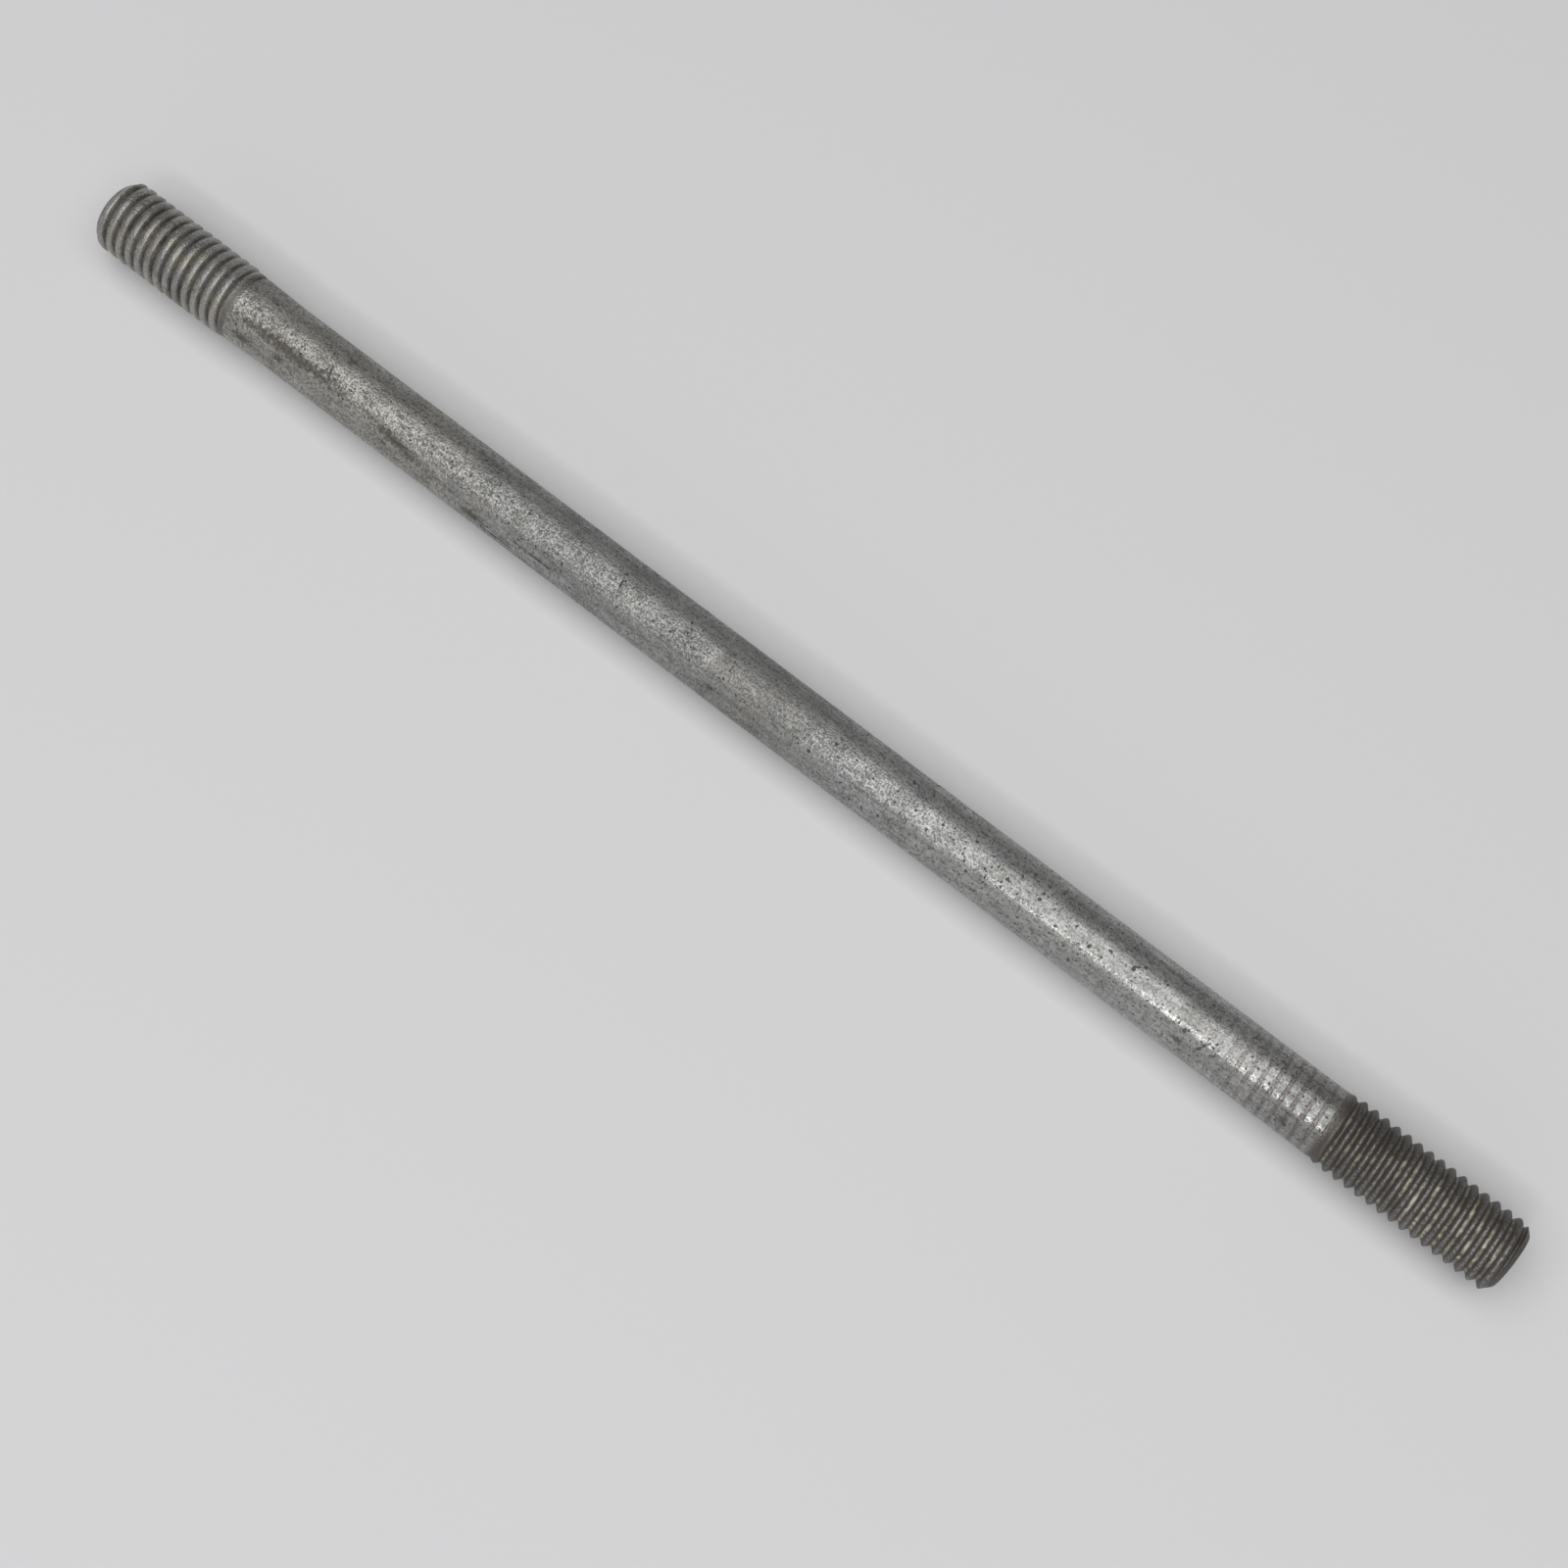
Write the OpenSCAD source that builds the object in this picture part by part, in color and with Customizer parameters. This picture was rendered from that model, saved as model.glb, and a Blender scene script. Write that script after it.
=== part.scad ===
// Double-ended threaded rod: one steel bar with a plain round shank and a rolled
// right-hand M8 thread on each end. It lies along X on the plane z = 0, with the
// middle of its length over the origin. The coarse end points along +X and the worn
// end along -X.

/* [Rod] */
// Length over both end faces
rod_length = 172; // [100:0.1:300]
// Diameter of the plain shank between the threads
shank_d = 7.1; // [6.6:0.05:7.3]
// Diameter of the swollen end of the shank beside the worn thread
swell_d = 7.4; // [7:0.05:7.5]
// Length over which that swelling falls to the plain diameter
swell_length = 5; // [1:0.5:10]
// Edge break where the shank stops at each thread
shank_edge = 0.05; // [0.02:0.01:0.08]

/* [Thread] */
// Axial advance of both threads in one turn
pitch = 1.25; // [1.2:0.05:1.75]
// Length over which the crests fall towards the shank
crest_runout = 2.6; // [1:0.1:4]
// Length over which the grooves run up to the shank
groove_runout = 1.2; // [0.5:0.1:2.5]
// Flat sides in one turn of the thread
turn_sides = 32; // [24:4:36]

/* [Coarse end] */
// Length of the coarse thread, from its end face to the shank
coarse_length = 21.3; // [10:0.1:30]
// How much sooner the coarse grooves die out than the crests
coarse_lead = 0.7; // [0:0.1:1.5]
// Diameter over the coarse crests
coarse_crest_d = 7.7; // [7.4:0.05:8]
// Depth of the coarse grooves below the crests
coarse_depth = 0.56; // [0.4:0.01:0.65]
// Width of the coarse crests along the rod
coarse_crest_w = 0.3; // [0.1:0.01:0.4]
// Width of the coarse groove floors along the rod
coarse_floor_w = 0.16; // [0.12:0.01:0.35]
// Diameter of the coarse end face
coarse_face_d = 5.3; // [4.6:0.1:6.2]
// Rise of the coarse end's chamfer for each millimetre along the rod
coarse_chamfer = 1; // [0.5:0.05:1.5]
// Turn of the coarse thread about the rod, in degrees
coarse_turn = 345; // [0:5:355]

/* [Worn end] */
// Length of the worn thread, from its end face to the shank
worn_length = 17.7; // [10:0.1:30]
// How much sooner the worn grooves die out than the crests
worn_lead = 0.2; // [0:0.1:1.5]
// Diameter over the worn crests
worn_crest_d = 7.85; // [7.4:0.05:8]
// Depth of the worn grooves below the crests
worn_depth = 0.58; // [0.4:0.01:0.6]
// Width of the flattened tops of the worn crests along the rod
worn_crest_w = 0.26; // [0.2:0.01:0.5]
// Width of the worn crests along the rod where they round over
worn_shoulder_w = 0.76; // [0.6:0.01:0.9]
// Depth of that rounding below the crests
worn_shoulder_depth = 0.13; // [0.05:0.01:0.2]
// Width of the worn groove floors along the rod
worn_floor_w = 0.2; // [0.1:0.01:0.3]
// Diameter of the worn end face
worn_face_d = 5.7; // [5:0.1:6.5]
// Rise of the worn end's chamfer for each millimetre along the rod
worn_chamfer = 0.75; // [0.5:0.05:1.5]
// Turn of the worn thread about the rod, in degrees
worn_turn = 35; // [0:5:355]

/* [Hidden] */
// The rod rests on its highest crests
axis_height = max(coarse_crest_d, worn_crest_d) / 2;
// How far both threads end up under the shank's surface
seat_sink = 0.04;
// How far the core of each thread runs on inside the shank
core_overlap = 0.8;
// Closest that a corner of the thread form comes to a ring of the core
corner_gap = 0.03;
// Corners of each thread form over one pitch: place along the rod from the middle of
// the crest, and depth below it
coarse_form = [
    [(coarse_floor_w - pitch) / 2, coarse_depth],
    [-coarse_crest_w / 2, 0],
    [coarse_crest_w / 2, 0],
    [(pitch - coarse_floor_w) / 2, coarse_depth]
];
worn_form = [
    [(worn_floor_w - pitch) / 2, worn_depth],
    [-worn_shoulder_w / 2, worn_shoulder_depth],
    [-worn_crest_w / 2, 0],
    [worn_crest_w / 2, 0],
    [worn_shoulder_w / 2, worn_shoulder_depth],
    [(pitch - worn_floor_w) / 2, worn_depth]
];

// A threaded end as one closed mesh, with its end face on z = 0 and its core running on
// past the thread. Each side of the turn is a column of points: the rim of the end face,
// the foot of the chamfer, the corners of the thread form, and the end of the core.
module threaded_end(length, lead, crest_d, form, face_d, chamfer, turn, blank_d) {
    corner_count = len(form);
    crest_r = crest_d / 2;
    root_r = crest_r - form[0][1];
    seat_r = blank_d / 2 - seat_sink;
    face_r = min(face_d / 2, root_r - corner_gap);
    foot_z = (root_r - face_r) / chamfer;
    groove_end = length - lead;
    core_end = length + core_overlap;
    pitches = ceil(core_end / pitch) + 2;

    // Shares of their full height and depth that the crests and the grooves have at the
    // distance z from the end face
    function crest_share(z) = max(0, min(1, (length - z) / crest_runout));
    function groove_share(z) = max(0, min(1, (groove_end - z) / groove_runout));
    function faded_r(z, r) =
        seat_r + (r - seat_r) * (r > seat_r ? crest_share(z) : groove_share(z));
    function thread_r(z, below) = min(face_r + z * chamfer, faded_r(z, crest_r - below));
    function at(r, j, z) =
        [r * cos(360 * j / turn_sides), r * sin(360 * j / turn_sides), z];

    // Distance from the end face to corner g on side j
    function corner_z(g, j) =
        pitch * (floor(g / corner_count) - 1 + j / turn_sides - turn / 360)
        + form[g % corner_count][0];
    // The corners on each side that lie between the chamfer and the end of the core
    corners = [for (j = [0:turn_sides - 1]) [
        for (g = [0:corner_count * pitches - 1])
            let (z = corner_z(g, j))
            if (z > foot_z + corner_gap && z < core_end - corner_gap) g
    ]];
    columns = [for (j = [0:turn_sides - 1]) [
        at(face_r, j, 0),
        at(root_r, j, foot_z),
        for (g = corners[j])
            at(thread_r(corner_z(g, j), form[g % corner_count][1]), j, corner_z(g, j)),
        at(root_r, j, core_end)
    ]];
    starts = [
        for (j = 0, s = 0; j < turn_sides; s = s + len(columns[j]), j = j + 1) s
    ];

    // Side turn_sides is side 0 again, with its corners one pitch further along the form
    function side(j) = j % turn_sides;
    function shift(j) = j < turn_sides ? 0 : corner_count;
    function first(j) = corners[side(j)][0] - shift(j);
    function last(j) = first(j) + len(corners[side(j)]) - 1;
    function rim(j) = starts[side(j)];
    function foot(j) = rim(j) + 1;
    function corner(g, j) = foot(j) + 1 + g - first(j);
    function core(j) = corner(last(j), j) + 1;

    // Two triangles over the points a and b on one side, and c and d on the next
    function quad(a, b, c, d) = [[a, b, d], [a, d, c]];
    // The triangles between side j and the next one. A corner that only one of the two
    // sides has, at either end of the thread, takes one more.
    function strip(j) =
        let (
            next = j + 1,
            low = max(first(j), first(next)),
            high = min(last(j), last(next))
        )
        concat(
            quad(rim(j), foot(j), rim(next), foot(next)),
            quad(foot(j), corner(first(j), j), foot(next), corner(first(next), next)),
            [for (g = [first(next):low - 1])
                [corner(low, j), corner(g + 1, next), corner(g, next)]],
            [for (g = [low:high - 1])
                each quad(corner(g, j), corner(g + 1, j), corner(g, next), corner(g + 1, next))],
            [for (g = [high:last(j) - 1])
                [corner(g, j), corner(g + 1, j), corner(high, next)]],
            quad(corner(last(j), j), core(j), corner(last(next), next), core(next))
        );

    polyhedron(
        [for (column = columns) each column],
        concat(
            [[for (j = [0:turn_sides - 1]) rim(j)]],
            [[for (j = [turn_sides - 1:-1:0]) core(j)]],
            [for (j = [0:turn_sides - 1]) each strip(j)]
        )
    );
}

// The plain round shank, with its swollen end on z = 0
module shank(length) {
    r = shank_d / 2;
    swell_r = swell_d / 2;
    rotate_extrude($fn = 96)
        polygon([
            [0, 0],
            [swell_r - shank_edge, 0],
            [swell_r, shank_edge],
            [r, swell_length],
            [r, length - shank_edge],
            [r - shank_edge, length],
            [0, length]
        ]);
}

module rod() {
    color("#8a8a88")
        translate([0, 0, axis_height]) {
            translate([worn_length - rod_length / 2, 0, 0])
                rotate([0, 90, 0])
                    shank(rod_length - worn_length - coarse_length);
            translate([-rod_length / 2, 0, 0])
                rotate([0, 90, 0])
                    threaded_end(worn_length, worn_lead, worn_crest_d, worn_form,
                        worn_face_d, worn_chamfer, worn_turn, swell_d);
            translate([rod_length / 2, 0, 0])
                rotate([0, -90, 0])
                    threaded_end(coarse_length, coarse_lead, coarse_crest_d, coarse_form,
                        coarse_face_d, coarse_chamfer, coarse_turn, shank_d);
        }
}

rod();
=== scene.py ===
from functools import reduce
from math import ceil, cos, degrees, hypot, pi, radians, sin
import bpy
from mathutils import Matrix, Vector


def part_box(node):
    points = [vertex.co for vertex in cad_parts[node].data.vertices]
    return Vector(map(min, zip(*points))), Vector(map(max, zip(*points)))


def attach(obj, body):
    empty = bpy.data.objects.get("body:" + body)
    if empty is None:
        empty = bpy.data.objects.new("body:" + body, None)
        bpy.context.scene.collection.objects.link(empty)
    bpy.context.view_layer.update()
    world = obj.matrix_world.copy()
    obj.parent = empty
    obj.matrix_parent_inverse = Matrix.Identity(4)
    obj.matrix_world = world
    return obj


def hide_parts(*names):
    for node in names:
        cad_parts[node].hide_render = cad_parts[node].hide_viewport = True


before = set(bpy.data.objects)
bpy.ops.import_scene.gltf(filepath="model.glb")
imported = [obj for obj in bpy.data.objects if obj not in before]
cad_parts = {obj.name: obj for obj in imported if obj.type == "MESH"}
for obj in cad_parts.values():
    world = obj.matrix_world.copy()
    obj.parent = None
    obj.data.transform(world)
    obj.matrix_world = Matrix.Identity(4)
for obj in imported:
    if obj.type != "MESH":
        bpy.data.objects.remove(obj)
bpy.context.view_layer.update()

from types import SimpleNamespace

import bpy
from bpy.props import FloatProperty, FloatVectorProperty, IntProperty, PointerProperty
from bpy.types import Operator, Panel, PropertyGroup
from mathutils import Vector

bl_info = {
    "name": "Threaded Rod",
    "version": (1, 0, 0),
    "blender": (4, 5, 0),
    "location": "3D View > Sidebar > Rod",
    "description": "Models a worn steel rod with a rolled thread on each end",
    "category": "Add Mesh",
}

# Places that come from the frame. The rod lies along X, with the middle of its axis over
# the origin.
LOW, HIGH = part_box("rod")
ROD_LENGTH = HIGH.x - LOW.x
AXIS_HEIGHT = (HIGH.z + LOW.z) / 2

MM = 0.001
# Points of the rod that lie closer together than this are one point
TOUCH = 0.002 * MM
# A face looks along an axis when its normal reaches at least this far along it
LOOKS_ALONG = 0.9


# ---------------------------------------------------------------------------
# Sizes and colours that a user would change
# ---------------------------------------------------------------------------

def length_property(name, description, millimetres):
    return FloatProperty(
        name=name, description=description, default=millimetres * MM, min=0,
        unit="LENGTH", precision=5)


def colour_property(name, description, colour):
    return FloatVectorProperty(
        name=name, description=description, default=colour, min=0, max=1,
        size=3, subtype="COLOR")


class ShankSettings(PropertyGroup):
    diameter: length_property("Diameter", "Diameter of the plain shank", 7.1)
    swell_diameter: length_property(
        "Swell Diameter", "Diameter of the shank where it meets the worn thread", 7.4)
    swell_length: length_property(
        "Swell Length", "Length over which the swelling falls to the plain diameter", 5)
    ring_spacing: length_property(
        "Ring Spacing", "Distance between the rings of faces along the shank", 0.9)
    waviness: length_property(
        "Waviness", "Depth of the slow waves in the drawn surface", 0.03)


# What both threads have, as (property, name, description)
THREAD_SIZES = (
    ("length", "Length", "Length of the thread, up to the shank"),
    ("groove_lead", "Groove Lead", "How much sooner the grooves die out than the crests"),
    ("groove_runout", "Groove Run-out", "Length over which the grooves run up to the shank"),
    ("crest_runout", "Crest Run-out", "Length over which the crests fall to the shank"),
    ("crest_diameter", "Crest Diameter", "Diameter over the crests"),
    ("depth", "Depth", "Depth of the grooves below the crests"),
    ("lean", "Lean", "How far the crests lean towards the shank"),
    ("seam_depth", "Seam Depth", "Depth of the rolled seam along the middle of the crest"),
    ("face_diameter", "Face Diameter", "Diameter of the end face"),
    ("chamfer_length", "Chamfer Length", "Length of the chamfer along the rod"),
    ("rim_radius", "Rim Radius", "Rounding of the end face's rim"),
)


def thread_properties(fullness, turn, **sizes):
    """The properties of one thread, with its sizes in millimetres and its turn in degrees
    as their defaults."""
    properties = {
        key: length_property(name, description, sizes[key])
        for key, name, description in THREAD_SIZES
    }
    properties["fullness"] = FloatProperty(
        name="Fullness", description="How broad the crests are against the grooves",
        default=fullness, min=1, max=6)
    properties["turn"] = FloatProperty(
        name="Turn", description="Turn of the thread about the rod",
        default=radians(turn), subtype="ANGLE")
    return properties


class WornThreadSettings(PropertyGroup):
    __annotations__ = thread_properties(
        length=17.7, groove_lead=0.05, groove_runout=0.3, crest_runout=1.8,
        crest_diameter=7.85, depth=0.53, fullness=3.8, lean=0.38, seam_depth=0,
        face_diameter=6.0, chamfer_length=1.15, rim_radius=0.45, turn=-35)


class CoarseThreadSettings(PropertyGroup):
    __annotations__ = thread_properties(
        length=21.3, groove_lead=0.7, groove_runout=1.2, crest_runout=2.6,
        crest_diameter=7.74, depth=0.6, fullness=1.6, lean=0, seam_depth=0.05,
        face_diameter=5.8, chamfer_length=1.0, rim_radius=0.1, turn=346)


class RodSettings(PropertyGroup):
    pitch: length_property("Pitch", "Advance of both threads in one turn", 1.25)
    sides: IntProperty(
        name="Sides", description="Faces round the rod", default=96, min=24, max=144)
    form_steps: IntProperty(
        name="Form Steps", description="Rows of faces on each side of a crest",
        default=7, min=4, max=12)
    shank: PointerProperty(type=ShankSettings)
    worn: PointerProperty(type=WornThreadSettings)
    coarse: PointerProperty(type=CoarseThreadSettings)
    dent_depth: length_property("Dent Depth", "Depth of the dents in the crests", 0.08)
    steel: colour_property("Steel", "Grey of the clean skin", (0.29, 0.291, 0.289))
    dull: colour_property("Dull Steel", "Grey of the skin at the worn end", (0.28, 0.273, 0.25))
    dark: colour_property("Dark Steel", "Grey of the coarse thread", (0.158, 0.151, 0.146))
    # This grey-brown is used for the real stains and also as painted shade in the thread
    # grooves and on the coarse flanks
    stain_and_shade: colour_property("Stain", "Grey-brown of the stains", (0.085, 0.075, 0.063))
    rust: colour_property("Rust", "Brown of the faint rust", (0.12, 0.09, 0.078))
    tarnish: colour_property("Tarnish", "Warm tint of the worn thread", (0.35, 0.332, 0.295))
    residue: colour_property("Residue", "Dried dirt in the grooves", (0.54, 0.51, 0.425))


class StageSettings(PropertyGroup):
    floor: colour_property("Floor", "Colour of the table top", (0.645, 0.645, 0.655))


# ---------------------------------------------------------------------------
# Modelling helpers
# ---------------------------------------------------------------------------

def deselect_all():
    """Leaves edit mode where it is on, and selects nothing."""
    if bpy.context.object and bpy.context.object.mode != "OBJECT":
        bpy.ops.object.mode_set(mode="OBJECT")
    bpy.ops.object.select_all(action="DESELECT")


def make_active(piece):
    deselect_all()
    piece.select_set(True)
    bpy.context.view_layer.objects.active = piece


def name_new(name):
    """Names the piece that an operator has just added, and its mesh."""
    piece = bpy.context.object
    piece.name = name
    piece.data.name = name
    return piece


def edit(piece, select="DESELECT", mode="VERT"):
    """Opens a piece in edit mode, with all or none of it selected."""
    make_active(piece)
    bpy.ops.object.mode_set(mode="EDIT")
    bpy.ops.mesh.select_mode(type=mode)
    bpy.ops.mesh.select_all(action=select)


def leave_edit():
    bpy.ops.object.mode_set(mode="OBJECT")


def select_faces(piece, wanted):
    """Selects the faces of a piece in edit mode that pass the test."""
    leave_edit()
    for face in piece.data.polygons:
        face.select = wanted(face)
    bpy.ops.object.mode_set(mode="EDIT")


def apply_modifiers(piece):
    make_active(piece)
    for modifier in list(piece.modifiers):
        bpy.ops.object.modifier_apply(modifier=modifier.name)


def apply_place(piece):
    """Moves a piece's place and turn into its mesh."""
    make_active(piece)
    bpy.ops.object.transform_apply(location=True, rotation=True, scale=True)


def smooth_step(share):
    """A share held between 0 and 1, that leaves both of them slowly."""
    share = min(1, max(0, share))
    return share * share * (3 - 2 * share)


# ---------------------------------------------------------------------------
# The threads
# ---------------------------------------------------------------------------

# How many times narrower the seam in a crest is than the half of a pitch
SEAM_NARROWNESS = 7
# Turns that a thread is wound past each end of its length
SPARE_TURNS = 2
# How far past each end of its length a wound thread is first cut off
CUT_MARGIN = 0.4 * MM
# Points that lie closer to the level of a cut than this are on it
CUT_TOUCH = 0.0002 * MM
# How far the turned blank stands out over the crests
BLANK_MARGIN = 0.1 * MM
# Rows of faces across the rounded rim of an end face
RIM_ROWS = 4


def thread_form(settings, pitch, steps):
    """Points of the round-bottomed form over one pitch, from groove to groove, as (radius,
    distance along the axis). They lie closest in the groove and along the crest."""
    crest_radius = settings.crest_diameter / 2
    half = pitch / 2
    points = []
    for step in range(-steps, steps + 1):
        side = -1 if step < 0 else 1
        share = (1 - cos(pi * abs(step) / steps)) / 2
        seam = settings.seam_depth * max(0, 1 - SEAM_NARROWNESS * share)
        depth = settings.depth * sin(pi / 2 * share ** settings.fullness) + seam
        lean = settings.lean * (1 - share)
        points.append((crest_radius - depth, side * share * half + lean))
    return points


def draw_form(name, points):
    """A chain of edges through the points of a thread form."""
    deselect_all()
    bpy.ops.mesh.primitive_plane_add(size=MM, location=(0, 0, 0))
    piece = name_new(name)
    edit(piece, select="SELECT")
    bpy.ops.mesh.merge(type="CENTER")
    radius, height = points[0]
    bpy.ops.transform.translate(value=(radius, 0, height))
    for (radius, height), (next_radius, next_height) in zip(points, points[1:]):
        step = (next_radius - radius, 0, next_height - height)
        bpy.ops.mesh.extrude_region_move(TRANSFORM_OT_translate={"value": step})
    leave_edit()
    return piece


def wind_thread(piece, settings, pitch, sides):
    """Winds the form into a right-hand thread that passes both ends of its length."""
    piece.location.z = -SPARE_TURNS * pitch
    piece.rotation_euler.z = settings.turn
    apply_place(piece)
    screw = piece.modifiers.new("thread", "SCREW")
    screw.axis = "Z"
    screw.screw_offset = pitch
    screw.iterations = ceil(settings.length / pitch) + 2 * SPARE_TURNS
    screw.steps = sides
    screw.render_steps = sides
    apply_modifiers(piece)
    edit(piece, select="SELECT")
    bpy.ops.mesh.remove_doubles(threshold=TOUCH)
    leave_edit()


def cut_off(piece, height, above):
    """Cuts the piece level at a height, drops what lies above or below, and closes it."""
    edit(piece, select="SELECT")
    bpy.ops.mesh.bisect(
        plane_co=(0, 0, height), plane_no=(0, 0, 1), use_fill=True,
        clear_outer=above, clear_inner=not above, threshold=CUT_TOUCH)
    leave_edit()


def fade_runout(piece, settings, seat_radius):
    """Draws the crests down and the grooves up onto the shank's radius at the inner end."""
    groove_end = settings.length - settings.groove_lead
    seat = piece.vertex_groups.new(name="seat")
    for vertex in piece.data.vertices:
        x, y, z = vertex.co
        if hypot(x, y) > seat_radius:
            share = (settings.length - z) / settings.crest_runout
        else:
            share = (groove_end - z) / settings.groove_runout
        seat.add([vertex.index], 1 - smooth_step(share), "REPLACE")
    cast = piece.modifiers.new("run-out", "CAST")
    cast.cast_type = "CYLINDER"
    cast.use_z = False
    cast.use_radius_as_size = False
    cast.size = seat_radius
    cast.factor = 1
    cast.vertex_group = seat.name
    apply_modifiers(piece)
    piece.vertex_groups.clear()


def turn_blank(settings, sides):
    """The turned bar that the thread was rolled on: a plain cylinder, wider than the
    crests, with a chamfered and rounded end at height 0."""
    radius = settings.crest_diameter / 2 + BLANK_MARGIN
    plain_length = settings.length - settings.chamfer_length
    deselect_all()
    bpy.ops.mesh.primitive_cylinder_add(
        vertices=sides, radius=radius, depth=plain_length,
        location=(0, 0, settings.chamfer_length + plain_length / 2))
    piece = name_new("blank")
    apply_place(piece)
    edit(piece, mode="FACE")
    select_faces(piece, lambda face: face.normal.z < -LOOKS_ALONG)
    bpy.ops.mesh.extrude_region_move(
        TRANSFORM_OT_translate={"value": (0, 0, -settings.chamfer_length)})
    shrink = settings.face_diameter / 2 / radius
    bpy.ops.transform.resize(value=(shrink, shrink, 1), center_override=(0, 0, 0))
    bpy.ops.mesh.select_mode(type="EDGE")
    bpy.ops.mesh.region_to_loop()
    bpy.ops.mesh.bevel(offset=settings.rim_radius, segments=RIM_ROWS)
    leave_edit()
    return piece


def trim_to(piece, blank):
    """Keeps the part of a threaded end that lies inside its turned blank."""
    trim = piece.modifiers.new("trim", "BOOLEAN")
    trim.operation = "INTERSECT"
    trim.solver = "EXACT"
    trim.object = blank
    apply_modifiers(piece)
    bpy.data.objects.remove(blank)


def open_inner_end(piece, settings):
    """Deletes the flat face that the shank will join."""
    edit(piece, mode="FACE")
    height = settings.length - TOUCH
    select_faces(piece, lambda face: face.normal.z > LOOKS_ALONG and face.center.z > height)
    bpy.ops.mesh.delete(type="FACE")
    leave_edit()


def model_threaded_end(name, rod, settings, seat_diameter):
    """A threaded end that points down, with its end face at height 0 and its open inner
    end at its length."""
    form = thread_form(settings, rod.pitch, rod.form_steps)
    piece = draw_form(name, form)
    wind_thread(piece, settings, rod.pitch, rod.sides)
    cut_off(piece, -CUT_MARGIN, above=False)
    cut_off(piece, settings.length + CUT_MARGIN, above=True)
    fade_runout(piece, settings, seat_diameter / 2)
    trim_to(piece, turn_blank(settings, rod.sides))
    open_inner_end(piece, settings)
    return piece


def place_end(piece, direction):
    """Lays a threaded end along X, with its end face towards direction, -1 or 1."""
    piece.location = (direction * ROD_LENGTH / 2, 0, AXIS_HEIGHT)
    piece.rotation_euler.y = -direction * pi / 2
    apply_place(piece)


# ---------------------------------------------------------------------------
# The shank and the whole rod
# ---------------------------------------------------------------------------

# Gap between the shank and each thread, which a ring of faces then closes
BRIDGE_GAP = 0.25 * MM
# How far from the end of a thread the two rims of that gap may lie
BRIDGE_REACH = 1 * MM
# Height over the shank at which a crest is dented in full
FULL_CREST = 0.3 * MM
# Sizes of the slow waves along the shank and of the dents in the crests
WAVE_SIZE = 5 * MM
DENT_SIZE = 0.7 * MM
# Faces that meet at a smaller angle than this are shaded as one surface
SMOOTH_ANGLE = radians(40)


def thread_ends(rod):
    """Where the shank meets the worn thread and the coarse one, from the rod's middle."""
    return rod.worn.length - ROD_LENGTH / 2, ROD_LENGTH / 2 - rod.coarse.length


def shank_radius(rod, distance):
    """Radius of the shank at a distance from its swollen end."""
    shank = rod.shank
    swell = 1 - smooth_step(distance / shank.swell_length)
    return (shank.diameter + (shank.swell_diameter - shank.diameter) * swell) / 2


def model_shank(rod):
    """The plain shank as an open tube, with a gap at each end for the bridge."""
    worn_end, coarse_end = thread_ends(rod)
    start = worn_end + BRIDGE_GAP
    length = coarse_end - BRIDGE_GAP - start
    rings = ceil(length / rod.shank.ring_spacing)
    spacing = length / rings
    deselect_all()
    bpy.ops.mesh.primitive_circle_add(
        vertices=rod.sides, radius=shank_radius(rod, 0),
        location=(start, 0, AXIS_HEIGHT), rotation=(0, pi / 2, 0))
    piece = name_new("shank")
    apply_place(piece)
    edit(piece, select="SELECT", mode="EDGE")
    for ring in range(rings):
        bpy.ops.mesh.extrude_region_move(TRANSFORM_OT_translate={"value": (spacing, 0, 0)})
        distance = (ring + 1) * spacing
        growth = shank_radius(rod, distance) / shank_radius(rod, ring * spacing)
        if growth != 1:
            bpy.ops.transform.resize(
                value=(1, growth, growth), center_override=(start + distance, 0, AXIS_HEIGHT))
    leave_edit()
    return piece


def bridge_at(piece, place):
    """Joins the two open rims of the piece that lie beside a place along the rod."""
    edit(piece, mode="EDGE")
    bpy.ops.mesh.select_non_manifold(
        extend=False, use_wire=False, use_boundary=True, use_multi_face=False,
        use_non_contiguous=False, use_verts=False)
    leave_edit()
    points = piece.data.vertices
    for edge in piece.data.edges:
        middle = (points[edge.vertices[0]].co.x + points[edge.vertices[1]].co.x) / 2
        if abs(middle - place) > BRIDGE_REACH:
            edge.select = False
    bpy.ops.object.mode_set(mode="EDIT")
    bpy.ops.mesh.bridge_edge_loops()
    leave_edit()


def join_pieces(name, pieces):
    make_active(pieces[0])
    for piece in pieces[1:]:
        piece.select_set(True)
    bpy.ops.object.join()
    return name_new(name)


def group_wear(piece, rod):
    """Vertex groups that hold the shank and the crests of both threads."""
    crests = piece.vertex_groups.new(name="crests")
    shank = piece.vertex_groups.new(name="shank")
    worn_end, coarse_end = thread_ends(rod)
    for vertex in piece.data.vertices:
        x, y, z = vertex.co
        radius = hypot(y, z - AXIS_HEIGHT)
        over_shank = (radius - rod.shank.diameter / 2) / FULL_CREST
        if worn_end < x < coarse_end:
            shank.add([vertex.index], 1, "REPLACE")
        elif over_shank > 0:
            crests.add([vertex.index], smooth_step(over_shank), "REPLACE")


def wear_surface(piece, rod):
    """Slow waves along the shank and dents in the crests, all of them inwards."""
    group_wear(piece, rod)
    for name, scale, depth in (
            ("shank", WAVE_SIZE, rod.shank.waviness),
            ("crests", DENT_SIZE, rod.dent_depth)):
        clouds = bpy.data.textures.new(name + " wear", "CLOUDS")
        clouds.noise_scale = scale
        clouds.noise_depth = 1
        wear = piece.modifiers.new(name + " wear", "DISPLACE")
        wear.texture = clouds
        wear.texture_coords = "LOCAL"
        wear.vertex_group = name
        wear.mid_level = 1
        wear.strength = depth
    apply_modifiers(piece)


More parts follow.
